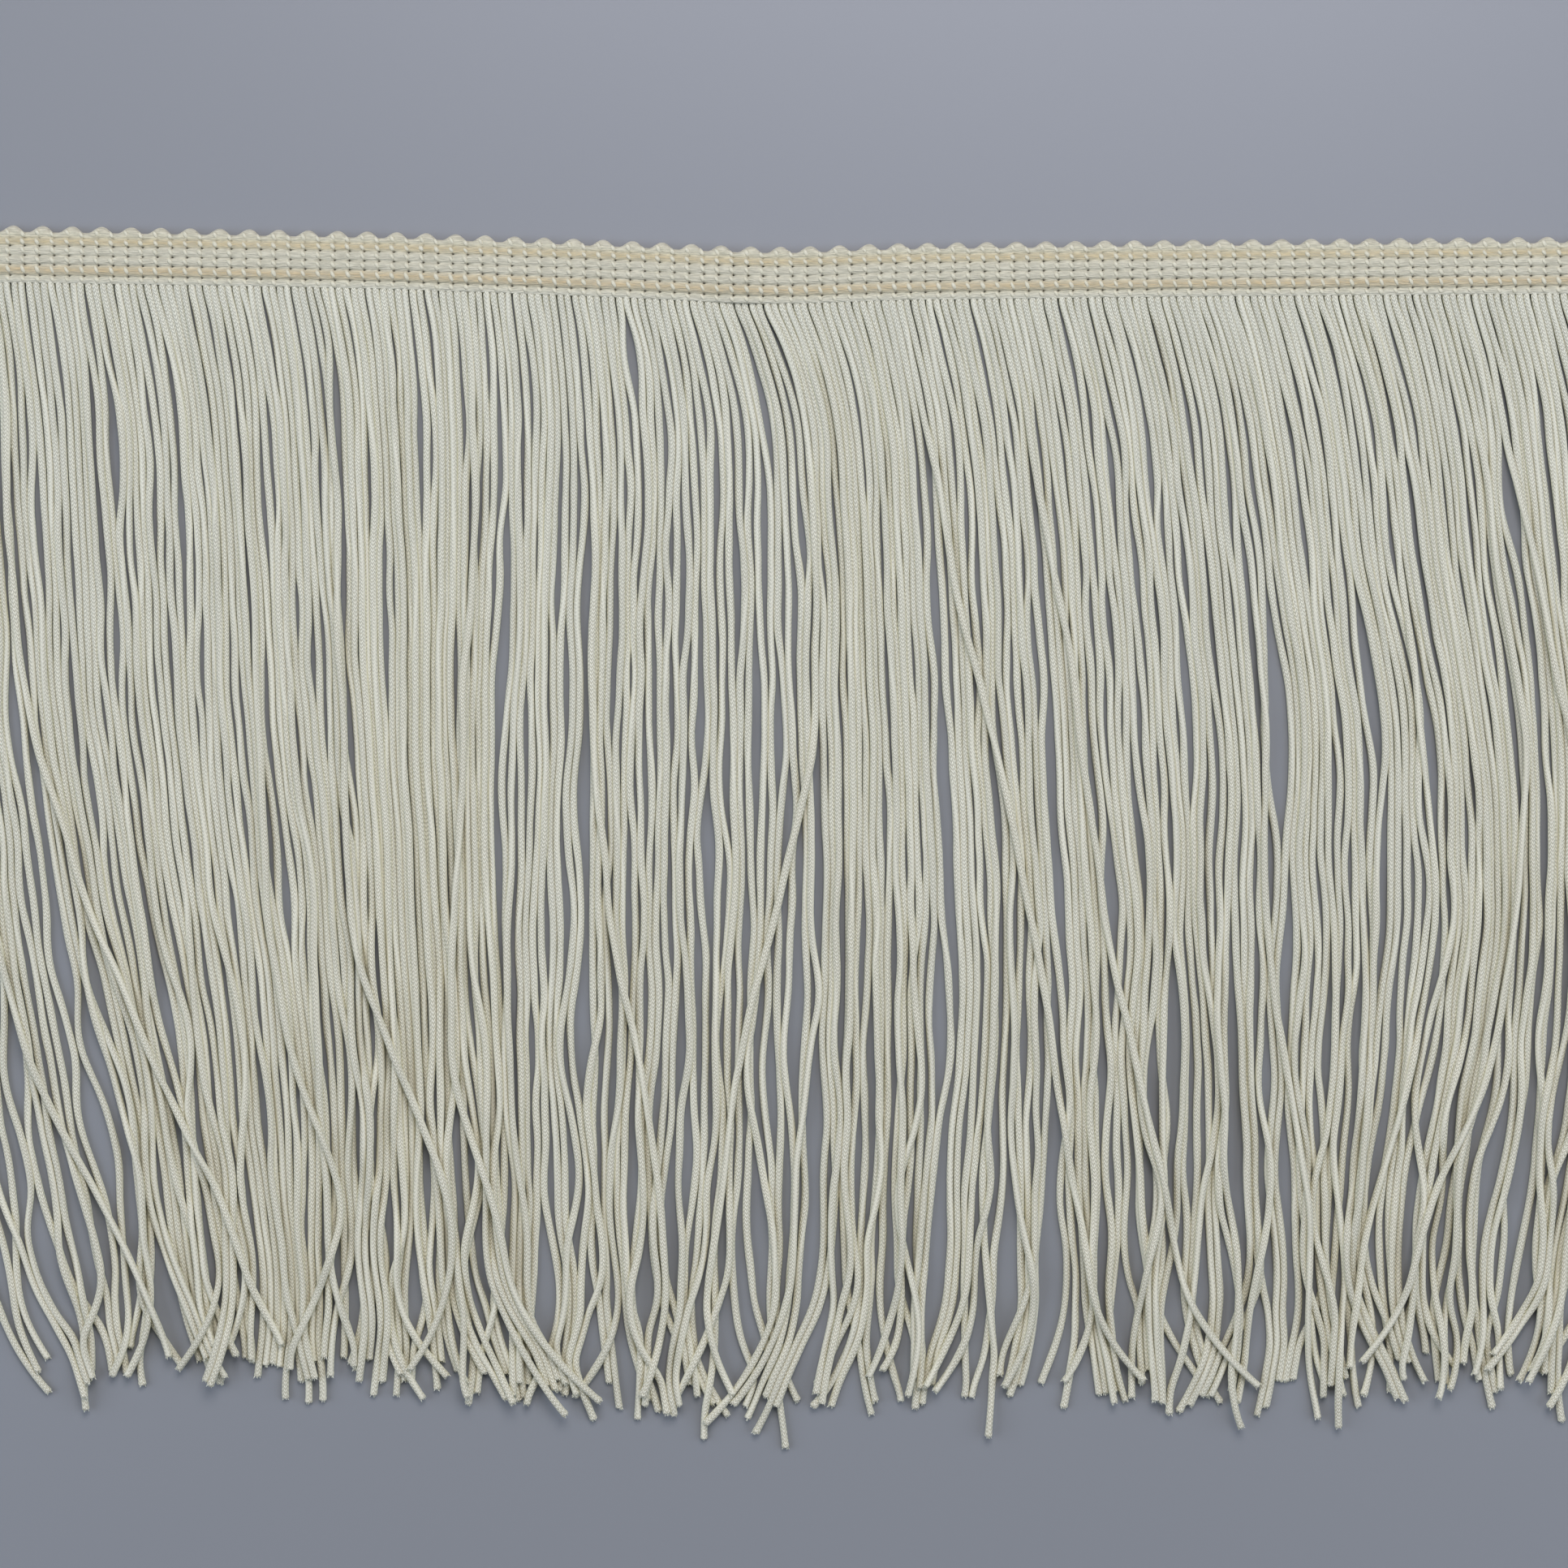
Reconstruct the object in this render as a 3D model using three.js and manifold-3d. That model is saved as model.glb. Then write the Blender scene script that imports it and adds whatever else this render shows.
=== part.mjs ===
// A cut length of chainette fringe trim, lying flat: a knitted heading with a picot edge, and a skirt of
// knitted cords that hang from its lower edge. Here the cords lie on the surface and run towards -Y.
// Millimetres, +Z up. X runs along the heading, and the surface that the trim lies on is Z = 0.
// The origin is the middle of the heading's flat back.
import * as THREE from "three";
import Module from "manifold-3d";

const wasm = await Module();
wasm.setup();

// Driving sizes. A column of the heading is one turn of the weft, which leaves two cords in the skirt.
const LENGTH = 300;
const COLUMNS = 116;
const CORDS_PER_COLUMN = 2;
const COLUMNS_PER_PICOT = 2;
const BAYS = 4;
const CLEARANCE = 0.3;
const SKIRT_DEPTH = 189;
const DEEPEST = 204;
const CORD = { width: 1.15, height: 1.0, spacing: 1.24 };

// What follows from them.
const COLUMN_PITCH = LENGTH / COLUMNS;
const CORDS = COLUMNS * CORDS_PER_COLUMN;
const CORD_PITCH = COLUMN_PITCH / CORDS_PER_COLUMN;
const CORDS_PER_BAY = CORDS / BAYS;
const LAYER_RISE = CORD.height + CLEARANCE;

// The rows of the heading from its lower edge up. Each is a rib that runs the whole length. The first row
// holds the roots of the cords, and is parted from the rest.
const ROWS = [
  { name: "root row", width: 1.28, crest: 2.45 },
  { name: "lower stripe", width: 1.85, crest: 2.2 },
  { name: "lower middle", width: 1.7, crest: 2.2 },
  { name: "upper middle", width: 1.57, crest: 2.2 },
  { name: "upper stripe", width: 1.43, crest: 2.1 },
  { name: "picot row", width: 1.25, crest: 1.9 },
];
const VALLEY = 1.5;
const EDGE_HEIGHT = 1.0;
const BODY_WIDTH = ROWS.reduce((sum, row) => sum + row.width, 0);

// A picot is a turn of the weft that stands out past the picot row. It is half a low dome.
const PICOT = { half_width: 1.66, stands_out: 0.95, covers: 0.5, height: 1.6, taper: 0.65, sides: 4 };
const HEADING_WIDTH = BODY_WIDTH + PICOT.stands_out;

// The line of the heading's middle on the surface, and the soft crease where it was once folded.
const HEADING_LINE = [
  { x: -150, y: 4.0 },
  { x: -131, y: 3.85 },
  { x: -96, y: 3.3 },
  { x: -63, y: 2.7 },
  { x: -25, y: 1.3 },
  { x: -10, y: 0.6 },
  { x: 0, y: 0 },
  { x: 12, y: 0.15 },
  { x: 24, y: 0.7 },
  { x: 74, y: 1.3 },
  { x: 150, y: 1.9 },
];
const CREASE = { at: -1, reach: 4.5, rise: 0.3 };
const STATIONS = 40;

// How far the skirt leans sideways at each depth, for cords rooted at x.
const LEAN_DEPTHS = [0, 8, 21, 47, 78, 110, 136, 162, DEEPEST];
const LEAN = [
  { x: -146, lean: [0, 0.9, 2.1, 3.6, 5.0, 7.1, 10.0, 12.8, 18.0] },
  { x: -127, lean: [0, 1.1, 3.1, 4.3, 6.0, 11.4, 17.5, 23.7, 30.0] },
  { x: -103, lean: [0, 1.7, 4.3, 5.7, 6.8, 11.4, 14.3, 15.3, 16.0] },
  { x: -74, lean: [0, 1.7, 3.1, 4.3, 5.7, 8.6, 10.7, 11.4, 11.4] },
  { x: -46, lean: [0, 1.1, 1.7, 1.1, 0.0, -0.7, 0.0, 1.1, 1.9] },
  { x: -17, lean: [0, 1.7, 3.7, 3.6, 3.1, 3.6, 2.1, 1.4, 0.6] },
  { x: 1, lean: [0, 3.6, 7.1, 8.3, 9.3, 8.6, 8.6, 8.3, 8.6] },
  { x: 25, lean: [0, 2.0, 4.6, 6.4, 7.8, 9.3, 8.8, 7.1, 4.6] },
  { x: 54, lean: [0, 2.0, 4.6, 6.8, 8.8, 11.1, 11.4, 12.1, 12.6] },
  { x: 82, lean: [0, 2.6, 5.7, 8.8, 12.1, 11.4, 11.4, 12.1, 12.9] },
  { x: 111, lean: [0, 2.3, 5.4, 8.8, 14.3, 15.7, 12.1, 7.1, 3.8] },
  { x: 139, lean: [0, 2.3, 5.0, 7.1, 10.0, 10.0, 8.6, 5.7, 4.0] },
];

// The widest openings between cords, each between two depths. Cords within GAP_REACH of one are pushed aside.
const GAPS = [
  { x: -110.7, from: 12, to: 40, width: 1.4 },
  { x: -99.0, from: 31, to: 56, width: 1.3 },
  { x: -63.7, from: 38, to: 82, width: 2.3 },
  { x: -57.6, from: 20, to: 50, width: 1.2 },
  { x: -129.2, from: 60, to: 95, width: 2.3 },
  { x: -20.2, from: 2, to: 21, width: 1.4 },
  { x: -16.8, from: 38, to: 72, width: 1.4 },
  { x: 3.3, from: 3, to: 33, width: 2.0 },
  { x: 7.6, from: 3, to: 36, width: 1.7 },
  { x: 8.4, from: 40, to: 66, width: 1.3 },
  { x: 63.3, from: 17, to: 36, width: 1.2 },
  { x: 93.1, from: 48, to: 95, width: 3.1 },
  { x: 108.4, from: 50, to: 85, width: 1.7 },
  { x: 133.4, from: 26, to: 55, width: 1.6 },
  { x: -129.2, from: 116, to: 152, width: 4.3 },
  { x: -115.7, from: 134, to: 162, width: 3.6 },
  { x: -101.9, from: 112, to: 148, width: 3.7 },
  { x: -72.7, from: 104, to: 134, width: 2.3 },
  { x: -64.4, from: 116, to: 147, width: 2.9 },
  { x: -54.0, from: 74, to: 115, width: 2.0 },
  { x: -6.0, from: 78, to: 122, width: 2.4 },
  { x: 8.6, from: 88, to: 152, width: 2.9 },
  { x: 32.9, from: 98, to: 165, width: 3.7 },
  { x: -27.9, from: 110, to: 165, width: 2.0 },
  { x: 94.6, from: 96, to: 131, width: 2.9 },
  { x: 94.5, from: 136, to: 171, width: 2.0 },
  { x: 63.8, from: 90, to: 120, width: 1.4 },
  { x: 128.7, from: 128, to: 152, width: 3.1 },
  { x: -103.7, from: 164, to: 192, width: 4.0 },
];
const GAP_REACH = 7;

// Cords that lie on top of the rest and cross them: where each is rooted, and its X at each of LEAN_DEPTHS.
const STRAYS = [
  { root: -145, places: [-145, -144, -143, -141.5, -139, -134, -127, -113, -86] },
  { root: -133, places: [-133, -132, -130.5, -129, -126.5, -115.5, -104.5, -92, -82] },
  { root: -92, places: [-92, -90.5, -88.5, -87, -86, -84, -81, -69, -78] },
  { root: -76, places: [-76, -74.5, -73, -72, -71, -71, -62, -50, -62] },
  { root: -50, places: [-50, -48, -47.5, -48, -50, -52, -52, -44, -36] },
  { root: -30, places: [-30, -28.5, -27, -27, -27.5, -24, -19, -15, -10] },
  { root: 3, places: [3, 6, 10, 12, 11.5, 3.5, -3, -6, -7] },
  { root: 26.4, places: [26.4, 28, 31.5, 38.5, 52, 61, 66, 68, 69] },
  { root: 33, places: [33, 34.5, 37, 42, 55, 63.5, 68.5, 71, 75] },
  { root: 44, places: [44, 46, 49, 54, 62, 68, 72, 75, 80] },
  { root: 80, places: [80, 82, 85, 88, 91, 91, 94, 99, 99] },
  { root: 106, places: [106, 108, 111, 114, 118, 121, 117, 108, 102] },
  { root: 122, places: [122, 124, 127, 131, 137, 134, 131, 117, 105] },
  { root: 127, places: [127, 128.5, 132, 142, 146, 148, 147, 144, 141] },
];

// Random waves: how many neighbours swing together, how far, and over what length of cord. The cords of the
// upper layer also swing each on its own.
const WAVES = [
  { seed: 1, cords: 12.6, swing: 2.0, length: 62 },
  { seed: 2, cords: 5.3, swing: 1.3, length: 38 },
  { seed: 3, cords: 2.4, swing: 0.9, length: 24 },
];
const LOOSE_FROM = 45;
const UPPER_SWING = { seed: 4, swing: 7.5, length: 46 };
const TIP_SPLAY = { seed: 5, swing: 3.6, over: 30 };
const TIP_LENGTH = { seed: 6, spread: 11, long: 7, long_share: 0.08 };
const UPPER_EVERY = 4;

// The depths at which every cord has a section. Its tip lies between the last two.
const SECTION_DEPTHS = [6, 25, 52, 84, 116, 148, DEEPEST];

// A number from 0 to 1 that depends on the two given alone.
function chance(a, b) {
  const value = Math.sin(a * 127.1 + b * 311.7) * 43758.5453;
  return value - Math.floor(value);
}

// A smooth wave from about -1 to 1, through random values one step apart.
function wave(seed, group, at) {
  const step = Math.floor(at);
  const t = at - step;
  const weights = [(1 - t) ** 3, 3 * t ** 3 - 6 * t ** 2 + 4, 1 + 3 * t + 3 * t ** 2 - 3 * t ** 3, t ** 3];
  return weights.reduce((sum, weight, k) => sum + (weight / 4) * (2 * chance(seed * 57 + group, step + k) - 1), 0);
}

// The height at x of the line through the points (xs, ys), held level past its ends.
function onLine(xs, ys, x) {
  const k = xs.findIndex((value) => value > x);
  if (k === 0) return ys[0];
  if (k < 0) return ys[ys.length - 1];
  return THREE.MathUtils.mapLinear(x, xs[k - 1], xs[k], ys[k - 1], ys[k]);
}

// The Y of the heading's lower edge at x.
function lowerEdge(x) {
  return (
    onLine(
      HEADING_LINE.map((point) => point.x),
      HEADING_LINE.map((point) => point.y),
      x,
    ) -
    HEADING_WIDTH / 2
  );
}

// How much thicker the heading is at x than elsewhere.
function crease(x) {
  return 1 + CREASE.rise * Math.exp(-(((x - CREASE.at) / CREASE.reach) ** 2));
}

// The sideways lean at one depth of a cord rooted at x.
function leanAt(x, depth) {
  return onLine(
    LEAN.map((row) => row.x),
    LEAN.map((row) => onLine(LEAN_DEPTHS, row.lean, depth)),
    x,
  );
}

// How far the openings push a cord at x aside at one depth.
function parting(x, depth) {
  return GAPS.filter((gap) => depth > gap.from && depth < gap.to).reduce((sum, gap) => {
    const half = (Math.sin((Math.PI * (depth - gap.from)) / (gap.to - gap.from)) * gap.width) / 2;
    return sum + Math.sign(x - gap.x) * half * Math.exp(-Math.abs(x - gap.x) / GAP_REACH);
  }, 0);
}

// Every cord from left to right. Layer 0 lies on the surface, layer 1 on that, and the strays on top.
const cords = Array.from({ length: CORDS }, (_, i) => {
  const root = (i + 0.5) * CORD_PITCH - LENGTH / 2;
  const stray = STRAYS.find((row) => Math.abs(row.root - root) <= CORD_PITCH / 2);
  const long = chance(TIP_LENGTH.seed, i + CORDS) < TIP_LENGTH.long_share ? TIP_LENGTH.long : 0;
  return {
    index: i,
    root,
    stray,
    bay: Math.floor(i / CORDS_PER_BAY),
    layer: stray ? 2 : i % UPPER_EVERY === 2 ? 1 : 0,
    tip: SKIRT_DEPTH + long + (chance(TIP_LENGTH.seed, i) - 0.5) * TIP_LENGTH.spread,
  };
});

// The X at one depth where a cord would lie if it met no other of its layer.
function wanted(cord, depth) {
  if (cord.stray) return onLine(LEAN_DEPTHS, cord.stray.places, depth);
  const x = cord.root + leanAt(cord.root, depth);
  const swing = WAVES.reduce(
    (sum, w) => sum + w.swing * wave(w.seed, Math.floor(cord.index / w.cords), depth / w.length),
    0,
  );
  const own = cord.layer * UPPER_SWING.swing * wave(UPPER_SWING.seed, cord.index, depth / UPPER_SWING.length);
  const near = Math.max(0, 1 - (SKIRT_DEPTH - depth) / TIP_SPLAY.over);
  const splay = (2 * chance(TIP_SPLAY.seed, cord.index) - 1) * TIP_SPLAY.swing * near ** 2;
  return x + Math.min(1, depth / LOOSE_FROM) * (swing + own) + splay + parting(x, depth);
}

// Moves the cords of one layer the least that makes them lie side by side in their own order.
function sideBySide(row) {
  let room = 0;
  const places = row.map(({ cord, x }, k) => {
    if (k > 0) room += CORD.spacing + (row[k - 1].cord.bay === cord.bay ? 0 : CLEARANCE);
    return { cord, room, x: x - room };
  });
  const runs = [];
  for (const place of places) {
    runs.push({ sum: place.x, count: 1 });
    while (runs.length > 1 && runs.at(-2).sum / runs.at(-2).count > runs.at(-1).sum / runs.at(-1).count) {
      const last = runs.pop();
      runs.at(-1).sum += last.sum;
      runs.at(-1).count += last.count;
    }
  }
  const settled = runs.flatMap((run) => new Array(run.count).fill(run.sum / run.count));
  return places.map((place, k) => ({ cord: place.cord, x: settled[k] + place.room }));
}

// The X of every cord at one depth, by the cord's index.
function layOut(depth) {
  const xs = new Array(CORDS);
  for (const layer of [0, 1, 2]) {
    const row = cords.filter((cord) => cord.layer === layer).map((cord) => ({ cord, x: wanted(cord, depth) }));
    sideBySide(row).forEach(({ cord, x }) => (xs[cord.index] = x));
  }
  return xs;
}

// A closed solid through rings of points. Each ring goes anticlockwise seen from the last ring's side, and
// outline holds the same ring on a flat sheet, which the two ends are filled from.
function loft(outline, rings) {
  const size = outline.length;
  const index = [];
  for (let start = 0; start < (rings.length - 1) * size; start += size) {
    for (let k = 0; k < size; k++) {
      const a = start + k;
      const b = start + ((k + 1) % size);
      index.push(a, b, b + size, a, b + size, a + size);
    }
  }
  const last = (rings.length - 1) * size;
  for (const [a, b, c] of THREE.ShapeUtils.triangulateShape(outline, [])) {
    index.push(c, b, a, last + a, last + b, last + c);
  }
  return new wasm.Manifold(
    new wasm.Mesh({
      numProp: 3,
      vertProperties: new Float32Array(rings.flat().flatMap((point) => point.toArray())),
      triVerts: new Uint32Array(index),
    }),
  );
}

function geometryOf(solid) {
  const mesh = solid.getMesh();
  return new THREE.BufferGeometry()
    .setAttribute("position", new THREE.BufferAttribute(mesh.vertProperties, 3))
    .setIndex(new THREE.BufferAttribute(mesh.triVerts, 1));
}

// A ribbed strip along the heading between two X, from an outline of (distance above the lower edge, height).
function strip(outline, from, to) {
  const count = Math.round(((to - from) / LENGTH) * STATIONS);
  const rings = Array.from({ length: count + 1 }, (_, k) => {
    const x = THREE.MathUtils.lerp(from, to, k / count);
    return outline.map((p) => new THREE.Vector3(x, lowerEdge(x) + p.x, p.y * crease(x)));
  });
  return loft(outline, rings);
}

// The body of the heading: all rows above the root row, on one flat back.
function headingBody() {
  const foot = ROWS[0].width;
  const ribs = [new THREE.Vector2(foot, EDGE_HEIGHT)];
  let y = foot;
  for (const row of ROWS.slice(1)) {
    ribs.push(new THREE.Vector2(y + row.width / 2, row.crest));
    y += row.width;
    ribs.push(new THREE.Vector2(y, VALLEY));
  }
  ribs.at(-1).y = EDGE_HEIGHT;
  const outline = [new THREE.Vector2(foot, 0), new THREE.Vector2(BODY_WIDTH, 0), ...ribs.reverse()];
  return strip(outline, -LENGTH / 2, LENGTH / 2);
}

function picot(x) {
  const foot = lowerEdge(x) + BODY_WIDTH - PICOT.covers;
  const depth = PICOT.stands_out + PICOT.covers;
  const ring = (scale, z) =>
    Array.from({ length: PICOT.sides + 1 }, (_, k) => {
      const angle = (k * Math.PI) / PICOT.sides;
      const across = scale * PICOT.half_width * Math.cos(angle);
      return new THREE.Vector3(x + across, foot + scale * depth * Math.sin(angle), z);
    });
  const outline = ring(1, 0).map((point) => new THREE.Vector2(point.x, point.y));
  return loft(outline, [ring(1, 0), ring(PICOT.taper, PICOT.height)]);
}

function heading() {
  const pitch = COLUMNS_PER_PICOT * COLUMN_PITCH;
  const picots = Array.from({ length: COLUMNS / COLUMNS_PER_PICOT }, (_, k) => picot((k + 0.5) * pitch - LENGTH / 2));
  return geometryOf(wasm.Manifold.union([headingBody(), ...picots]));
}

// One cord of three sides, flat underneath, from inside the root row to its tip.
function cordSolid(cord, layout) {
  const outline = [
    new THREE.Vector2(-CORD.width / 2, 0),
    new THREE.Vector2(CORD.width / 2, 0),
    new THREE.Vector2(0, CORD.height),
  ];
  const inside = (ROWS[0].width - CLEARANCE) / 2;
  const stops = [{ depth: -inside, x: cord.root, z: Math.min(cord.layer, 1) * LAYER_RISE }];
  for (const { depth, xs } of layout) stops.push({ depth, x: xs[cord.index], z: cord.layer * LAYER_RISE });
  const [before, tip] = stops.slice(-2);
  tip.x = THREE.MathUtils.mapLinear(cord.tip, before.depth, tip.depth, before.x, tip.x);
  tip.depth = cord.tip;
  const rings = stops.map(({ depth, x, z }) =>
    outline.map((p) => new THREE.Vector3(x + p.x, lowerEdge(cord.root) - depth, z + p.y)),
  );
  return loft(outline, rings);
}

// The root row of one bay, with its cords fused into it.
function skirtBay(bay, layout) {
  const width = ROWS[0].width - CLEARANCE;
  const outline = [
    new THREE.Vector2(0, 0),
    new THREE.Vector2(width, 0),
    new THREE.Vector2(width, ROWS[0].crest),
    new THREE.Vector2(0, ROWS[0].crest),
  ];
  const from = -LENGTH / 2 + (bay * LENGTH) / BAYS + (bay > 0 ? CLEARANCE : 0);
  const to = -LENGTH / 2 + ((bay + 1) * LENGTH) / BAYS;
  const own = cords.filter((cord) => cord.bay === bay).map((cord) => cordSolid(cord, layout));
  return geometryOf(wasm.Manifold.union([strip(outline, from, to), ...own]));
}

function polyester(name, color) {
  return new THREE.MeshStandardMaterial({ name, color, roughness: 0.62, metalness: 0 });
}

function named(name, geometry, material) {
  const mesh = new THREE.Mesh(geometry, material);
  mesh.name = name;
  return mesh;
}

const layout = SECTION_DEPTHS.map((depth) => ({ depth, xs: layOut(depth) }));
const trim = new THREE.Group();
trim.add(named("heading", heading(), polyester("heading yarn", "#ddd6bd")));
for (let bay = 0; bay < BAYS; bay++) {
  trim.add(named(`skirt_bay_${bay + 1}`, skirtBay(bay, layout), polyester("chainette cord", "#dedccf")));
}

export default trim;
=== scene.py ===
"""A cut length of ivory chainette fringe trim, lying face up on a plain floor, seen from straight above.

Sizes are in millimetres until a mesh is made, but the floor and the lights are in metres. X runs along
the heading, and the cords run towards -Y. Depth is the distance down from the heading's lower edge.
"""

import math

import bpy
import numpy as np
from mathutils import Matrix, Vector


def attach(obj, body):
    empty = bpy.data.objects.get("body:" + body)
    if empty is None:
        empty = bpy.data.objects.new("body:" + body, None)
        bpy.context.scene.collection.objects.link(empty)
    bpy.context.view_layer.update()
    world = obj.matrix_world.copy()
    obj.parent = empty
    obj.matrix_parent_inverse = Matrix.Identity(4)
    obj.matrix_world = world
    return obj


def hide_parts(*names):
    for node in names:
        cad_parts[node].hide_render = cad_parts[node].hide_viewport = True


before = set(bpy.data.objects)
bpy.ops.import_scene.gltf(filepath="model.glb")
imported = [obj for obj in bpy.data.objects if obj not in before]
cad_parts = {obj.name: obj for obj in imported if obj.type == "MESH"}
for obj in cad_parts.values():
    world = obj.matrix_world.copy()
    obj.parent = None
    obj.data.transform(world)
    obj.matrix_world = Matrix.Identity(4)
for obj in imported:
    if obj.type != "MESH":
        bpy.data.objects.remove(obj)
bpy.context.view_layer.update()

MM = 0.001

# The part of the floor that the camera takes in.
FRAME_WIDTH = 275.3
FRAME_CENTRE = (6.3, -89.1)
LENS = 85
SENSOR = 36

# The floor, and its light: cool daylight from both sides and all round, and a paler light from beyond.
FLOOR_SIZE = 12
DAYLIGHT = "#d0e0ff"
PALE_LIGHT = "#edefff"
WORLD_STRENGTH = 0.2
SOFTBOXES = [
    {"name": "left", "place": (-0.95, -0.12, 0.75), "size": 1.0, "power": 9.4, "colour": DAYLIGHT},
    {"name": "right", "place": (0.95, -0.12, 0.75), "size": 1.0, "power": 8.1, "colour": DAYLIGHT},
    {"name": "beyond", "place": (0.12, 0.6, 1.05), "size": 0.7, "power": 11.45, "colour": PALE_LIGHT},
]

# Driving sizes of the trim. The two cords of a column are rooted PAIR_SPACING apart. Below the root, cords
# of one layer that lie closer than CORD_SPACING are moved apart. No tip reaches as far as DEEPEST.
LENGTH = 300
COLUMNS = 116
COLUMN_PITCH = LENGTH / COLUMNS
CORDS_PER_COLUMN = 2
CORDS = COLUMNS * CORDS_PER_COLUMN
COLUMNS_PER_PICOT = 2
BAYS = 4
BAY_CLEARANCE = 0.3
SKIRT_DEPTH = 189
DEEPEST = 204
CORD_DIAMETER = 1.21
CORD_SPACING = 1.23
PAIR_SPACING = 1.19

# The knitted tube lies a little flat. As it twists, it shows its wide side and its narrow side by turns.
# It is fullest where the cords lie packed, and thinner towards the cut ends. Its width wavers a little.
FLATNESS = {"wide": 1.02, "tall": 0.97, "turning": 0.07}
WIDTH_AT = {"depths": [0, 100, DEEPEST], "share": [1.03, 1.02, 1.01]}
UNEVENNESS = {"seed": 21, "share": 0.04, "length": 2.1}

# Each cord lies just clear of the floor, and leaves the heading a little higher than it lies.
ROOT_INSIDE = 0.55
OFF_THE_FLOOR = 0.1
ROOT_LIFT = {"height": 0.22, "over": 3}

# The cut end. The rings are evenly spaced as far as TIP_ZONE from it, and the last ones lie at TIP_RINGS
# from it. It flares slightly, and shows loose filaments.
TIP_ZONE = 1.5
TIP_RINGS = np.array([0.9, 0.4, 0.12, 0.0])
TIP_FLARE = {"seed": 22, "most": 0.1, "rim": 0.84}
CUT_FIBRES = {"number": 8, "radius": 0.13, "shortest": 0.15, "longest": 0.6, "spread": 0.6, "sides": 3}

# The rows of the heading from its lower edge up: the width of each, and the height of its crest.
HEADING_ROWS = [
    {"width": 1.28, "crest": 1.6},  # root row
    {"width": 1.85, "crest": 2.1},  # lower stripe
    {"width": 1.60, "crest": 2.2},  # lower middle
    {"width": 1.67, "crest": 2.2},  # upper middle
    {"width": 1.38, "crest": 2.1},  # upper stripe
    {"width": 1.15, "crest": 1.95},  # picot row
]

# Each row is a pillow between two valleys, whose heights are given by row coordinate. It is pinched
# a little at the lines between columns.
VALLEY = {"rows": [0, 1, 2, 3, 4, 5, 6], "heights": [1.4, 1.6, 1.85, 1.95, 1.9, 1.75, 0.9]}
PILLOW = {"fullness": 0.7, "pinch": 0.15, "reach": 0.34}

# The picots, one for every two columns: how far each stands out, the width of its left and right slopes,
# how far right of a line between columns its top is, and how full its curve is.
PICOT_STANDS_OUT = 1.1
PICOT_SLOPES = (2.1, 1.7)
PICOT_OFFSET = 0.57
PICOT_FULLNESS = 0.5
HEADING_WIDTH = sum(row["width"] for row in HEADING_ROWS) + PICOT_STANDS_OUT

# The small three-cornered holes where two rows and two columns meet. They are upright on the left and
# taper to the right, and those of the top line are only partly open.
HOLE = {
    "left": 0.1, "right": 0.34, "tall": 0.16, "tapers_over": 0.55, "least": 0.35, "depth": 0.7,
    "top_share": 0.35,
}

# A binding stitch: half its height in rows and half its slant, its place in the row and left of the line
# of holes, how far chance moves it, its section, its lift and arch, and its margins from the edges.
BINDING = {
    "reach": 0.33, "slant": 0.34, "middle": 0.52, "beside": 0.3, "up": 0.06, "aside": 0.07, "sides": 6,
    "radius": 0.36, "flatness": 0.4, "lift": 0.04, "arch": 0.12, "end_margin": 0.1, "row_margin": 0.02,
}
BINDING_RINGS = np.array([-1, -0.62, 0, 0.62, 1])
BINDING_THICKNESS = np.array([0.35, 0.85, 1, 0.8, 0.35])

# The line of the heading's middle, how it is softened, and the crease where it was once folded.
HEADING_LINE = [
    (-150, 4.0), (-131, 3.85), (-96, 3.3), (-63, 2.7), (-25, 1.3), (-10, 0.6),
    (0, 0), (12, 0.15), (24, 0.7), (74, 1.3), (150, 1.9),
]
SOFTENED = {"beyond": 20, "step": 0.5, "smoothing": 8}
CREASE = {"at": -1, "reach": 4.5, "rise": 0.3}

# How far the skirt leans sideways at each depth, for cords rooted at x.
LEAN_DEPTHS = [0, 8, 21, 47, 78, 110, 136, 162, DEEPEST]
LEAN = [
    {"x": -146, "lean": [0, 0.9, 2.1, 3.6, 5.0, 7.1, 10.0, 12.8, 18.0]},
    {"x": -127, "lean": [0, 1.1, 3.1, 4.3, 6.0, 11.4, 17.5, 23.7, 30.0]},
    {"x": -103, "lean": [0, 1.7, 4.3, 5.7, 6.8, 11.4, 14.3, 15.3, 16.0]},
    {"x": -74, "lean": [0, 1.7, 3.1, 4.3, 5.7, 8.6, 10.7, 11.4, 11.4]},
    {"x": -46, "lean": [0, 1.1, 1.7, 1.1, 0.0, -0.7, 0.0, 1.1, 1.9]},
    {"x": -17, "lean": [0, 1.7, 3.7, 3.6, 3.1, 3.6, 2.1, 1.4, 0.6]},
    {"x": 1, "lean": [0, 3.6, 7.1, 8.3, 9.3, 8.6, 8.6, 8.3, 8.6]},
    {"x": 25, "lean": [0, 2.0, 4.6, 6.4, 7.8, 9.3, 8.8, 7.1, 4.6]},
    {"x": 54, "lean": [0, 2.0, 4.6, 6.8, 8.8, 11.1, 11.4, 12.1, 12.6]},
    {"x": 82, "lean": [0, 2.6, 5.7, 8.8, 12.1, 11.4, 11.4, 12.1, 12.9]},
    {"x": 111, "lean": [0, 2.3, 5.4, 8.8, 14.3, 15.7, 12.1, 7.1, 3.8]},
    {"x": 139, "lean": [0, 2.3, 5.0, 7.1, 10.0, 10.0, 8.6, 5.7, 4.0]},
]

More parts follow.
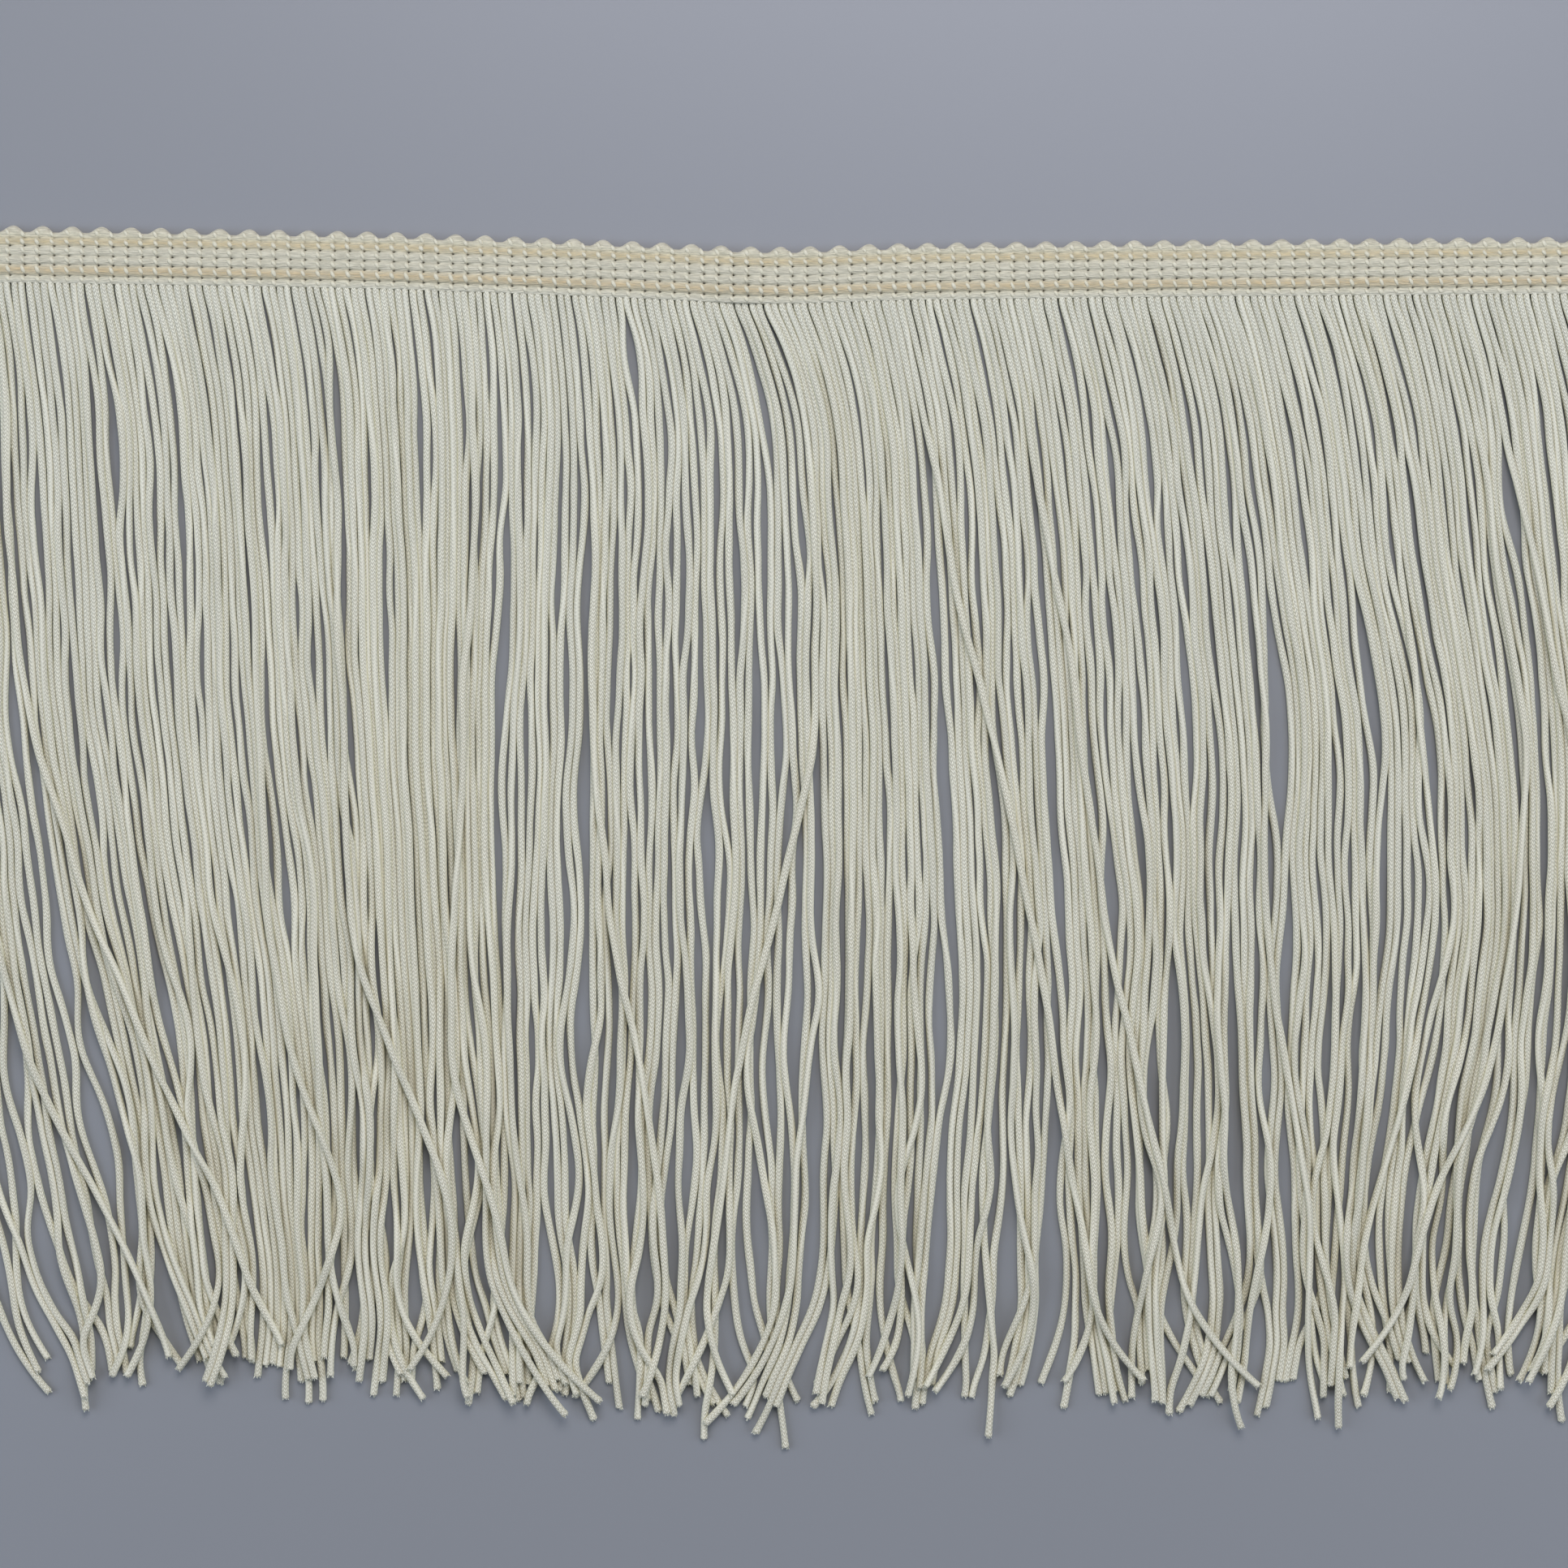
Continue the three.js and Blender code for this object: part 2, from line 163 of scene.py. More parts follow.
# The widest openings between cords: x, the two depths between which each one opens, and its width.
GAPS = [
    (-110.7, 12, 40, 1.4), (-99.0, 31, 56, 1.3), (-63.7, 38, 82, 2.3), (-57.6, 20, 50, 1.2),
    (-129.2, 60, 95, 2.3), (-20.2, 2, 21, 1.4), (-16.8, 38, 72, 1.4), (3.3, 3, 33, 2.0),
    (7.6, 3, 36, 1.7), (8.4, 40, 66, 1.3), (63.3, 17, 36, 1.2), (93.1, 48, 95, 3.1),
    (108.4, 50, 85, 1.7), (133.4, 26, 55, 1.6), (-129.2, 116, 152, 4.3), (-115.7, 134, 162, 3.6),
    (-101.9, 112, 148, 3.7), (-72.7, 104, 134, 2.3), (-64.4, 116, 147, 2.9), (-54.0, 74, 115, 2.0),
    (-6.0, 78, 122, 2.4), (8.6, 88, 152, 2.9), (32.9, 98, 165, 3.7), (-27.9, 110, 165, 2.0),
    (94.6, 96, 131, 2.9), (94.5, 136, 171, 2.0), (63.8, 90, 120, 1.4), (128.7, 128, 152, 3.1),
    (-103.7, 164, 192, 4.0),
]

# How far sideways an opening still pushes the cords, and how fast it narrows towards its two ends.
GAP_REACH = 3.5
GAP_TAPER = 1.4

# Strays lie on top of the rest and cross them: the root of each, and its X at each of LEAN_DEPTHS.
STRAYS = [
    {"root": -145, "places": [-145, -144, -143, -141.5, -139, -134, -127, -113, -86]},
    {"root": -133, "places": [-133, -132, -130.5, -129, -126.5, -115.5, -104.5, -92, -82]},
    {"root": -92, "places": [-92, -90.5, -88.5, -87, -86, -84, -81, -69, -78]},
    {"root": -76, "places": [-76, -74.5, -73, -72, -71, -71, -62, -50, -62]},
    {"root": -50, "places": [-50, -48, -47.5, -48, -50, -52, -52, -44, -36]},
    {"root": -30, "places": [-30, -28.5, -27, -27, -27.5, -24, -19, -15, -10]},
    {"root": 3, "places": [3, 6, 10, 12, 11.5, 3.5, -3, -6, -7]},
    {"root": 26.4, "places": [26.4, 28, 31.5, 35, 43, 49.5, 54.5, 58, 59]},
    {"root": 44, "places": [44, 46, 49, 54, 58.5, 63, 68, 74, 80]},
    {"root": 80, "places": [80, 82, 85, 88, 91, 91, 94, 99, 99]},
    {"root": 106, "places": [106, 108, 111, 114, 118, 121, 117, 108, 102]},
    {"root": 122, "places": [122, 124, 127, 131, 137, 134, 131, 117, 105]},
    {"root": 127, "places": [127, 128.5, 132, 138, 144, 146, 146, 144, 141]},
]

# Their layer, the depths between which they leave their place, and their share of the random waves.
STRAY_LAYER = 4
STRAY_LEAVES = (6, 30)
STRAY_SWING = 0.6

# Random waves: how many neighbours swing together, how far, and over what length of cord.
WAVES = [
    {"seed": 1, "cords": 13.6, "swing": 0.2, "length": 60},
    {"seed": 3, "cords": 2.4, "swing": 0.25, "length": 16},
    {"seed": 7, "cords": 1, "swing": 0.7, "length": 11},
    {"seed": 13, "cords": 1, "swing": 0.25, "length": 5.5},
]

# How much of the waves shows at each depth. The cords are held at the heading, and loose at the tips.
LOOSE_AT = {"depths": [0, 8, 40, 110, DEEPEST], "share": [0.1, 0.5, 1, 1.1, 1.2]}

# The layers, lowest first: the share of the cords in the lowest, in the lowest two and in the lowest
# three. Down to ALL_IN_ORDER_TO all cords keep one order, and below it the strays leave it. The upper
# layers begin to cross at the first depth of KEEPS_ORDER, and cross freely from the second.
LAYER_SEED = 11
LAYER_SHARES = [0.37, 0.65, 0.85]
ALL_IN_ORDER_TO = 12
KEEPS_ORDER = (80, 172)
ORDERED_SPACING = 1.01
CROSSING_SWING = {"seed": 4, "swing": 2.4, "length": 13, "share_a_layer": 0.6}

# Where two cords cross, they press into each other and touch at this share of their diameter. They begin
# to pile up at the first depth of PILES_UP, and do so fully from the second.
PRESSED = 0.93
PILES_UP = (0, 5)

# How deep the heading's hold on its cords reaches.
ROOT_HOLD = 1.5

# The tips splay and curl, each over the last part of the skirt, and were not cut quite to one length.
TIP_SPLAY = {"seed": 5, "swing": 5.4, "over": 40}
TIP_CURL = {"seed": 8, "swing": 8.0, "over": 18}
TIP_LENGTH = {"seed": 6, "slack": 3.6, "spread": 10, "long": 4.5, "long_share": 0.08}
TIP_DRIFT = {"seed": 9, "swing": 2.5, "cords": 6}

# The depths at which the layout is worked out, and how much it is smoothed, in steps between them.
DEPTHS = np.linspace(0, DEEPEST, 204)
LEAN_SMOOTHING = 6
PATH_SMOOTHING = 8
BEND_SMOOTHING = 1.4
HEIGHT_SMOOTHING = 2.2

# How finely a cord is meshed.
CORD_RINGS = 148
CORD_SIDES = 10

# The knit of a cord: the height of a stitch, the number of chains round it, and the stitch coordinates
# where the yarn is brightest, by painted highlight, and darkest, by painted shade. Each cord twists, and
# is knitted a little unevenly.
STITCH_PITCH = 0.68
WALES = 6
CREST_OF_A_STITCH = (0.25, 0.675)
HOLLOW_OF_A_STITCH = (0.5, 0.5)
TWIST = {"turns": 0.9, "length": 34}
KNIT = {"pitch_varies": 0.06, "first_stitch": 7, "drift": 0.7, "length": 17}


def chance(a, b):
    """Numbers from 0 to 1 that depend on the two given alone."""
    value = np.sin(a * 127.1 + b * 311.7) * 43758.5453
    return value - np.floor(value)


def either_way(a, b):
    """Numbers from -1 to 1 that depend on the two given alone."""
    return 2 * chance(a, b) - 1


def wave(seed, group, at):
    """A smooth wave from about -1 to 1, through random values one step apart."""
    step = np.floor(at)
    t = at - step
    weights = [(1 - t) ** 3, 3 * t**3 - 6 * t**2 + 4, 1 + 3 * t + 3 * t**2 - 3 * t**3, t**3]
    return sum(w / 4 * either_way(seed * 57 + group, step + k) for k, w in enumerate(weights))


def smoothed(values, sigma):
    """The rows of an array smoothed along their length, with sigma in samples."""
    reach = int(4 * sigma)
    bell = np.exp(-0.5 * (np.arange(-reach, reach + 1) / sigma) ** 2)
    padded = np.pad(np.atleast_2d(values), ((0, 0), (reach, reach)), mode="reflect", reflect_type="odd")
    return np.array([np.convolve(row, bell / bell.sum(), mode="valid") for row in padded])


def rise_between(depth, start, end):
    """Goes smoothly from 0 at one depth to 1 at another."""
    t = np.clip((depth - start) / (end - start), 0, 1)
    return t * t * (3 - 2 * t)


def lower_edge(x):
    """The Y of the heading's lower edge at x."""
    xs, ys = np.array(HEADING_LINE, float).T
    fine = np.arange(xs[0] - SOFTENED["beyond"], xs[-1] + SOFTENED["beyond"], SOFTENED["step"])
    soft = smoothed(np.interp(fine, xs, ys), SOFTENED["smoothing"])[0]
    return np.interp(x, fine, soft) - HEADING_WIDTH / 2


def crease(x):
    """How much thicker the heading is at x than elsewhere."""
    return 1 + CREASE["rise"] * np.exp(-(((x - CREASE["at"]) / CREASE["reach"]) ** 2))


def parting(x):
    """How far the openings push each cord aside. A cord stays on one side of each."""
    push = np.zeros_like(x)
    for at, start, end, width in GAPS:
        middle = int(np.argmin(np.abs(DEPTHS - (start + end) / 2)))
        aside = x[:, middle] - at
        share = np.sign(aside) * np.exp(-np.abs(aside) / GAP_REACH)
        opening = np.sin(np.pi * np.clip((DEPTHS - start) / (end - start), 0, 1)) ** GAP_TAPER
        push += share[:, None] * opening * width / 2
    return push


def side_by_side(places, bays, spacing):
    """Moves the cords of one layer the least that makes them lie side by side in their own order."""
    room = spacing * np.arange(len(places)) + BAY_CLEARANCE * (bays - bays[0])
    runs = []
    for value in places - room:
        runs.append([value, 1])
        while len(runs) > 1 and runs[-2][0] / runs[-2][1] > runs[-1][0] / runs[-1][1]:
            total, count = runs.pop()
            runs[-1][0] += total
            runs[-1][1] += count
    return np.concatenate([np.full(count, total / count) for total, count in runs]) + room


def settled(x, bays, spacing):
    """The cords' places at every depth, once they lie side by side."""
    return np.array([side_by_side(column, bays, spacing) for column in x.T]).T


def leaning(root):
    """How far each cord leans at every depth."""
    rows = np.array([np.interp(DEPTHS, LEAN_DEPTHS, row["lean"]) for row in LEAN])
    at = [row["x"] for row in LEAN]
    return smoothed(np.array([np.interp(root, at, column) for column in rows.T]).T, LEAN_SMOOTHING)


def swinging(index):
    """How far each cord swings at every depth, by all the random waves together."""
    return sum(
        w["swing"] * wave(w["seed"], np.floor(index / w["cords"])[:, None], DEPTHS / w["length"])
        for w in WAVES
    )


def crossing_over(index, layer):
    """How far each cord swings across its neighbours. The lowest layer and the strays don't."""
    cross = CROSSING_SWING["swing"] * wave(
        CROSSING_SWING["seed"], index[:, None], DEPTHS / CROSSING_SWING["length"]
    )
    share = np.minimum(CROSSING_SWING["share_a_layer"] * layer, 1) * (layer < STRAY_LAYER)
    return share[:, None] * rise_between(DEPTHS, *KEEPS_ORDER) * cross


def tip_bending(index, bend):
    """How far each cord is bent aside at every depth, by a bend that grows towards the tips."""
    grows = np.maximum(0, 1 - (SKIRT_DEPTH - DEPTHS) / bend["over"]) ** 2
    aside = either_way(bend["seed"], index) * bend["swing"]
    return aside[:, None] * grows


def skirt_layout():
    """The root, bay, tip depth, and X and height at every depth, of every cord from left to right."""
    index = np.arange(CORDS)
    column = index // CORDS_PER_COLUMN
    root = (column + 0.5) * COLUMN_PITCH - LENGTH / 2 + (index % CORDS_PER_COLUMN - 0.5) * PAIR_SPACING
    bay = index * BAYS // CORDS
    layer = np.searchsorted(LAYER_SHARES, chance(LAYER_SEED, index))
    x = root[:, None] + leaning(root)
    x = x + parting(x)
    swing = swinging(index)
    x = x + swing * np.interp(DEPTHS, LOOSE_AT["depths"], LOOSE_AT["share"])
    for stray in STRAYS:
        i = int(np.argmin(np.abs(root - stray["root"])))
        layer[i] = STRAY_LAYER
        own_way = smoothed(np.interp(DEPTHS, LEAN_DEPTHS, stray["places"]), PATH_SMOOTHING)[0]
        own_way = own_way + STRAY_SWING * swing[i]
        x[i] += (own_way - x[i]) * rise_between(DEPTHS, *STRAY_LEAVES)
    ordered = layer < STRAY_LAYER
    at_the_top = DEPTHS < ALL_IN_ORDER_TO
    x[:, at_the_top] = settled(x[:, at_the_top], bay, ORDERED_SPACING)
    below = np.ix_(ordered, ~at_the_top)
    x[below] = settled(x[below], bay[ordered], ORDERED_SPACING)
    x = x + crossing_over(index, layer)
    x = x + tip_bending(index, TIP_SPLAY) + tip_bending(index, TIP_CURL)
    for level in range(STRAY_LAYER + 1):
        members = layer == level
        x[members] = settled(x[members], bay[members], CORD_SPACING)
    x = smoothed(x, BEND_SMOOTHING)
    held_at_root = np.exp(-DEPTHS / ROOT_HOLD)
    x = root[:, None] * held_at_root + x * (1 - held_at_root)
    return {"root": root, "bay": bay, "x": x, "z": stacked(x, layer), "tip": tip_depths(index, x)}


def tip_depths(index, x):
    """The depth at which each cord ends. One that leans more ends higher."""
    cut = TIP_LENGTH
    spread = chance(cut["seed"], index) + chance(cut["seed"], index + 3 * CORDS) - 1
    long = chance(cut["seed"], index + CORDS) < cut["long_share"]
    length = SKIRT_DEPTH + cut["slack"] + long * cut["long"] + spread * cut["spread"] / 2
    length = length + TIP_DRIFT["swing"] * wave(TIP_DRIFT["seed"], 0, index / TIP_DRIFT["cords"])
    steps = np.hypot(np.diff(smoothed(x, PATH_SMOOTHING), axis=1), np.diff(DEPTHS))
    so_far = np.concatenate([np.zeros((len(index), 1)), np.cumsum(steps, axis=1)], axis=1)
    return np.array([np.interp(length[i], so_far[i], DEPTHS) for i in index])


def stacked(x, layer):
    """The height of each cord's middle: on the floor, or on cords of lower layers that it crosses."""
    radius = CORD_DIAMETER / 2
    touch = CORD_DIAMETER * PRESSED
    z = np.full_like(x, radius)
    for level in range(1, STRAY_LAYER + 1):
        below = np.flatnonzero(layer < level)
        for i in np.flatnonzero(layer == level):
            apart = x[below] - x[i]
            rise = np.sqrt(np.maximum(0, touch**2 - apart**2))
            resting = np.where(rise > 0, z[below] + rise, radius).max(axis=0)
            held = np.array([resting[max(0, k - 1) : k + 2].max() for k in range(len(resting))])
            z[i] = np.maximum(smoothed(held, HEIGHT_SMOOTHING)[0], radius)
    return radius + (z - radius) * rise_between(DEPTHS, *PILES_UP)


def mesh_object(name, points, faces):
    """A new object at the origin, from points in millimetres."""
    mesh = bpy.data.meshes.new(name)
    mesh.from_pydata((points * MM).tolist(), [], faces)
    mesh.update()
    piece = bpy.data.objects.new(name, mesh)
    bpy.context.scene.collection.objects.link(piece)
    return piece


def tube_points(middle, half_width, half_height, sides):
    """The rings of points of a tube along a path."""
    forward = np.gradient(middle, axis=0)
    side = np.cross(forward, [0, 0, 1])
    side /= np.linalg.norm(side, axis=1)[:, None]
    top = np.cross(side, forward)
    top /= np.linalg.norm(top, axis=1)[:, None]
    angles = np.arange(sides) * 2 * np.pi / sides
    sideways = (half_width[:, None] * np.cos(angles))[:, :, None] * side[:, None]
    upwards = (half_height[:, None] * np.sin(angles))[:, :, None] * top[:, None]
    return (middle[:, None] + sideways + upwards).reshape(-1, 3)


def tube_faces(first, rings, sides):
    """The faces of a closed tube whose points start at first: its wall, then its two ends."""
    faces = []
    for j in range(rings - 1):
        for k in range(sides):
            a = first + j * sides + k
            b = first + j * sides + (k + 1) % sides
            faces.append((a, a + sides, b + sides, b))
    last = first + (rings - 1) * sides
    faces.append(tuple(range(first, first + sides)))
    faces.append(tuple(range(last + sides - 1, last - 1, -1)))
    return faces


def cord_path(layout, i):
    """The middle points of one cord's rings, half its width at each, and the length up to each."""
    tip = layout["tip"][i]
    along = np.linspace(-ROOT_INSIDE, tip - TIP_ZONE, CORD_RINGS - len(TIP_RINGS))
    depth = np.concatenate([along, tip - TIP_RINGS])
    x = np.interp(depth, DEPTHS, layout["x"][i])
    y = lower_edge(layout["root"][i]) - depth
    z = np.interp(depth, DEPTHS, layout["z"][i]) + OFF_THE_FLOOR
    z = z + ROOT_LIFT["height"] * np.exp(-np.abs(depth) / ROOT_LIFT["over"])
    middle = np.stack([x, y, z], axis=1)
    length = np.concatenate([[0], np.cumsum(np.linalg.norm(np.diff(middle, axis=0), axis=1))])
    radius = CORD_DIAMETER / 2 * np.interp(depth, WIDTH_AT["depths"], WIDTH_AT["share"])
    radius *= 1 + UNEVENNESS["share"] * wave(UNEVENNESS["seed"], i, length / UNEVENNESS["length"])
    flare = 1 + TIP_FLARE["most"] * chance(TIP_FLARE["seed"], i)
    radius[-3:] *= [flare, flare, TIP_FLARE["rim"]]
    return middle, radius, length


def cut_fibres(i, middle, radius):
    """The loose filaments at the cut end of one cord, each as the points of a thin, tapered tube."""
    forward = middle[-1] - middle[-3]
    forward /= np.linalg.norm(forward)
    side = np.array([forward[1], -forward[0], 0])
    tufts = []
    for k in range(CUT_FIBRES["number"]):
        number = i * CUT_FIBRES["number"] + k
        across = either_way(41, number)
        up = either_way(42, number)
        longer = CUT_FIBRES["longest"] - CUT_FIBRES["shortest"]
        reach = CUT_FIBRES["shortest"] + longer * chance(43, number)
        start = middle[-2] + 0.75 * radius * (across * side + up * np.array([0, 0, 0.7]))
        bend = CUT_FIBRES["spread"] * (0.7 * across + 0.3 * either_way(44, number))
        end = start + reach * (forward + bend * side)
        path = np.stack([start, (start + end) / 2 + 0.1 * reach * forward, end])
        path[:, 2] = np.maximum(path[:, 2], 2 * CUT_FIBRES["radius"])
        thin = CUT_FIBRES["radius"] * np.array([1, 0.8, 0.35])
        tufts.append(tube_points(path, thin, thin, CUT_FIBRES["sides"]))
    return tufts


def stitch_places(i, length):
    """The stitch coordinates of one cord's rings: how far round each has turned, and how far along."""
    twist = WALES * (chance(23, i) + TWIST["turns"] * wave(24, i, length / TWIST["length"]))
    pitch = STITCH_PITCH * (1 + KNIT["pitch_varies"] * either_way(26, i))
    drift = KNIT["drift"] * wave(28, i, length / KNIT["length"])
    along = KNIT["first_stitch"] * chance(27, i) + length / pitch + drift
    return twist, along


def wall_stitches(twist, along):
    """The stitch coordinates of every corner of a cord's wall."""
    corners = []
    for j in range(CORD_RINGS - 1):
        for k in range(CORD_SIDES):
            near = WALES * k / CORD_SIDES
            far = WALES * (k + 1) / CORD_SIDES
            corners += [
                (near + twist[j], along[j]), (near + twist[j + 1], along[j + 1]),
                (far + twist[j + 1], along[j + 1]), (far + twist[j], along[j]),
            ]
    return corners


def cord_tone(i, middle, length):
    """The tone of every point of a cord's wall: by chance, by its height, and by how far down it is."""
    height = np.clip((middle[:, 2] - CORD_DIAMETER / 2) / CORD_DIAMETER, 0, 2)
    shade = np.stack([np.full(CORD_RINGS, chance(25, i)), height / 2, length / DEEPEST], axis=1)
    return np.repeat(shade, CORD_SIDES, axis=0)


def skirt_cords(layout, bay):
    """All the cords of one bay as one mesh, each with its stitch coordinates and its tone."""
    points, faces, stitch, tone = [], [], [], []
    first = 0
    for i in np.flatnonzero(layout["bay"] == bay):
        middle, radius, length = cord_path(layout, i)
        twist, along = stitch_places(i, length)
        turn = FLATNESS["turning"] * np.cos(4 * np.pi * twist / WALES)
        half_width = radius * (FLATNESS["wide"] + turn)
        half_height = radius * (FLATNESS["tall"] - turn)
        points.append(tube_points(middle, half_width, half_height, CORD_SIDES))
        faces += tube_faces(first, CORD_RINGS, CORD_SIDES)
        first += CORD_RINGS * CORD_SIDES
        stitch += wall_stitches(twist, along)
        # A cord's two ends take the colour of a stitch's hollow, with its painted shade.
        stitch += [HOLLOW_OF_A_STITCH] * (2 * CORD_SIDES)
        tone.append(cord_tone(i, middle, length))
        for tuft in cut_fibres(i, middle, radius[-4]):
            sides = CUT_FIBRES["sides"]
            rings = len(tuft) // sides
            points.append(tuft)
            faces += tube_faces(first, rings, sides)
            first += len(tuft)
            # The loose filaments take the colour of a stitch's crest, with its painted highlight.
            stitch += [CREST_OF_A_STITCH] * (4 * sides * (rings - 1) + 2 * sides)
            tone.append(np.zeros((len(tuft), 3)))
    piece = mesh_object(f"skirt_cords_{bay + 1}", np.concatenate(points), faces)
    layer = piece.data.uv_layers.new(name="stitch")
    layer.data.foreach_set("uv", np.array(stitch, np.float32).ravel())
    attribute = piece.data.attributes.new("tone", "FLOAT_VECTOR", "POINT")
    attribute.data.foreach_set("vector", np.concatenate(tone).astype(np.float32).ravel())
    piece.data.shade_smooth()
    return piece


def column_places():
    """X of the heading's mesh lines. They crowd at the lines of holes between columns."""
    steps = np.array([0, 0.04, 0.09, 0.16, 0.32, 0.5, 0.7, 0.87, 0.96])
    lines = (np.arange(COLUMNS)[:, None] + steps).ravel()
    return np.append(lines, COLUMNS) * COLUMN_PITCH - LENGTH / 2


def row_places():
    """The row coordinate of the heading's mesh lines: 0 at its lower edge, one more for each row."""
    steps = np.array([0, 0.06, 0.15, 0.3, 0.5, 0.7, 0.85, 0.94])
    return np.append((np.arange(len(HEADING_ROWS))[:, None] + steps).ravel(), len(HEADING_ROWS))


def picot_edge(x):
    """How far the picots stand out at x, from 0 between two to 1 at the top of one."""
    pitch = COLUMNS_PER_PICOT * COLUMN_PITCH
    along = (((x + LENGTH / 2 - PICOT_OFFSET) / pitch + 0.5) % 1 - 0.5) * pitch
    slope = np.where(along < 0, *PICOT_SLOPES)
    return (0.5 + 0.5 * np.cos(np.pi * np.clip(np.abs(along) / slope, 0, 1))) ** PICOT_FULLNESS


def heading_surface(x, row):
    """Y and height of the heading's face at X and a row coordinate, and how deep in a hole that is."""
    widths = np.array([r["width"] for r in HEADING_ROWS])
    crests = np.array([r["crest"] for r in HEADING_ROWS])
    starts = np.concatenate([[0], np.cumsum(widths)])
    which = np.minimum(np.floor(row).astype(int), len(widths) - 1)
    t = row - which
    top_row = which == len(widths) - 1
    stretch = widths[which] + np.where(top_row, PICOT_STANDS_OUT * picot_edge(x), 0)
    y = lower_edge(x) + starts[which] + t * stretch
    column = (x + LENGTH / 2) / COLUMN_PITCH
    from_line = (column - np.round(column)) * COLUMN_PITCH
    nearest = np.round(row)
    from_row = np.abs(y - lower_edge(x) - np.interp(nearest, range(len(starts)), starts))
    pinch = np.exp(-((from_line / PILLOW["reach"]) ** 2))
    ridge = np.sin(np.pi * np.clip(t, 0, 1)) ** PILLOW["fullness"]
    valley = np.interp(row, VALLEY["rows"], VALLEY["heights"])
    z = valley + (crests[which] - valley) * ridge * (1 - PILLOW["pinch"] * pinch)
    inner = (nearest > 0) & (nearest < len(widths))
    reach = np.where(from_line > 0, HOLE["right"], HOLE["left"])
    tall = HOLE["tall"] * np.clip(1 - from_line / HOLE["tapers_over"], HOLE["least"], 1)
    open_here = np.where(nearest == len(widths) - 1, HOLE["top_share"], 1) * inner
    hole = np.exp(-((from_line / reach) ** 2) - (from_row / tall) ** 2) * open_here
    return y, (z - HOLE["depth"] * hole) * crease(x), hole


def heading_braid():
    """The heading as one closed slab: a face of pillows and holes on a flat back."""
    xs, rows = np.meshgrid(column_places(), row_places())
    ys, zs, holes = heading_surface(xs, rows)
    bpy.ops.object.select_all(action="DESELECT")
    down, across = xs.shape
    bpy.ops.mesh.primitive_grid_add(x_subdivisions=across - 1, y_subdivisions=down - 1, size=1)
    piece = bpy.context.object
    piece.name = "heading_braid"
    face = np.stack([xs, ys, zs], axis=2) * MM
    piece.data.vertices.foreach_set("co", face.ravel())
    column = (xs + LENGTH / 2) / COLUMN_PITCH
    braid_places = np.stack([column, rows, holes], axis=2).astype(np.float32)
    attribute = piece.data.attributes.new("braid", "FLOAT_VECTOR", "POINT")
    attribute.data.foreach_set("vector", braid_places.ravel())
    down_to_back = (0, 0, -VALLEY["heights"][-1] * MM)
    bpy.ops.object.mode_set(mode="EDIT")
    bpy.ops.mesh.select_all(action="SELECT")
    bpy.ops.mesh.region_to_loop()
    bpy.ops.mesh.mark_sharp()
    bpy.ops.mesh.extrude_edges_move(TRANSFORM_OT_translate={"value": down_to_back})
    bpy.ops.transform.resize(value=(1, 1, 0), center_override=(0, 0, 0))
    bpy.ops.mesh.edge_face_add()
    bpy.ops.mesh.select_all(action="SELECT")
    bpy.ops.mesh.normals_make_consistent(inside=False)
    bpy.ops.object.mode_set(mode="OBJECT")
    piece.data.shade_smooth()
    return piece


def binding_stitches():
    """The slanting turn of bright yarn beside each hole, one in each row of each column, as one mesh."""
    sides = BINDING["sides"]
    rows = len(HEADING_ROWS)
    end = LENGTH / 2 - BINDING["end_margin"]
    edge = BINDING["row_margin"]
    points, faces = [], []
    for column in range(COLUMNS + 1):
        line = column * COLUMN_PITCH - LENGTH / 2
        for row in range(rows):
            number = column * rows + row
            middle_row = row + BINDING["middle"] + BINDING["up"] * either_way(32, number)
            reach = BINDING["reach"] * (0.9 + 0.3 * chance(33, number))
            aside = line - BINDING["beside"] + BINDING["aside"] * either_way(31, number)
            x = np.clip(aside - BINDING["slant"] * BINDING_RINGS, -end, end)
            y, z, _ = heading_surface(x, np.clip(middle_row + BINDING_RINGS * reach, edge, rows - edge))
            lifted = np.maximum(z, VALLEY["heights"][row]) + BINDING["lift"]
            lifted = lifted - BINDING["arch"] * BINDING_RINGS**2
            middle = np.stack([x, y, lifted], axis=1)
            radius = BINDING["radius"] * BINDING_THICKNESS * (0.8 + 0.35 * chance(34, number))
            first = len(points) * len(BINDING_RINGS) * sides
            points.append(tube_points(middle, radius, BINDING["flatness"] * radius, sides))
            faces += tube_faces(first, len(BINDING_RINGS), sides)
    piece = mesh_object("heading_stitches", np.concatenate(points), faces)
    piece.data.shade_smooth()
    return piece


def linear(code):
    """An sRGB hex colour as linear RGBA."""
    channels = [int(code[k : k + 2], 16) / 255 for k in (1, 3, 5)]
    return [c / 12.92 if c <= 0.04045 else ((c + 0.055) / 1.055) ** 2.4 for c in channels] + [1]


def add_node(tree, kind, settings=None, links=None):
    """Adds a node. Settings are its properties and plain inputs, and links are what its inputs read.

    An input is given by its name or number. Those of a Mix node are 0 for the factor, 2 and 3 for its
    two numbers, and 6 and 7 for its two colours.
    """
    node = tree.nodes.new(kind)
    for key, value in (settings or {}).items():
        if isinstance(key, str) and hasattr(node, key):
            setattr(node, key, value)
        else:
            node.inputs[key].default_value = linear(value) if isinstance(value, str) else value
    for key, source in (links or {}).items():
        if not isinstance(source, bpy.types.NodeSocket):
            source = next(socket for socket in source.outputs if socket.enabled)
        tree.links.new(source, node.inputs[key])
    return node


def new_material(name):
    """An empty material with a shader, and the tree that holds both."""
    material = bpy.data.materials.new(name)
    material.use_nodes = True
    tree = material.node_tree
    tree.nodes.clear()
    shader = add_node(tree, "ShaderNodeBsdfPrincipled")
    add_node(tree, "ShaderNodeOutputMaterial", links={"Surface": shader})
    return material, tree, shader


